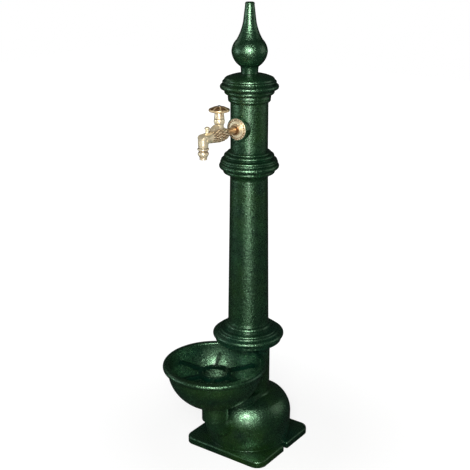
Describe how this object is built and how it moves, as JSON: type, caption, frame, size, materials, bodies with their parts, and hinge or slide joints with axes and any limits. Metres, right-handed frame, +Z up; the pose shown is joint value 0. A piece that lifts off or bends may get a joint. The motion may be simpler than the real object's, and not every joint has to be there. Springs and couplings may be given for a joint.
{
  "type": "garden standpipe",
  "caption": "Ringed round column on a bulbous foot and square plate, with a bowl and lift-out grating, a pointed finial, and a brass bib tap with handwheel and hose nozzle.",
  "frame": {"origin": "lower end of the supply pipe, on the column's axis at floor level", "axes": "+Z up the column, -Y towards the tap and the bowl, +X to the right when facing the tap from behind the column"},
  "size_m": [0.268, 0.4116, 1.1845],
  "materials": {
    "green_paint": "speckled green gloss paint",
    "bright_brass": "polished",
    "aged_brass": "darkened, polished on the ridges",
    "zinc_steel": "zinc plated",
    "pipe_steel": "galvanised",
    "black_rubber": "matt"
  },
  "bodies": {
    "root": {"pedestal": "green_paint", "column": "green_paint", "cap": "green_paint", "finial": "green_paint", "basin": "green_paint", "flange_bolts": "zinc_steel", "finial_stud": "zinc_steel", "cap_bridge": "zinc_steel", "stud_nut": "zinc_steel", "waste_seal": "black_rubber", "bonnet_seal": "black_rubber", "gland_packing": "black_rubber", "nozzle_seal": "black_rubber", "basin_waste": "bright_brass", "tap_elbow": "bright_brass", "elbow_backnut": "bright_brass", "rosette": "bright_brass", "tap_body": "bright_brass", "tap_bonnet": "bright_brass", "gland_nut": "bright_brass", "hose_nozzle": "bright_brass", "riser_pipe": "pipe_steel"},
    "valve": {"jumper_valve": "bright_brass", "jumper_washer": "black_rubber"},
    "wheel": {"spindle": "bright_brass", "handwheel": "aged_brass", "handwheel_screw": "zinc_steel"},
    "grate": {"grating": "green_paint"}
  },
  "joints": [
    {"name": "spindle_rise", "type": "slide", "parent": "root", "child": "valve", "axis": [0, 0, 1], "range_m": [0, 0.0075]},
    {"name": "handwheel_turn", "type": "hinge", "parent": "valve", "child": "wheel", "pos_m": [0, -0.126, 0], "axis": [0, 0, 1], "range_deg": [0, 1080]},
    {"name": "grating_lift", "type": "slide", "parent": "root", "child": "grate", "axis": [0, 0, 1], "range_m": [0, 0.038]}
  ],
  "couplings": [
    {"joint": "spindle_rise", "follows": "handwheel_turn", "m_per_rad": 0.00039789}
  ]
}
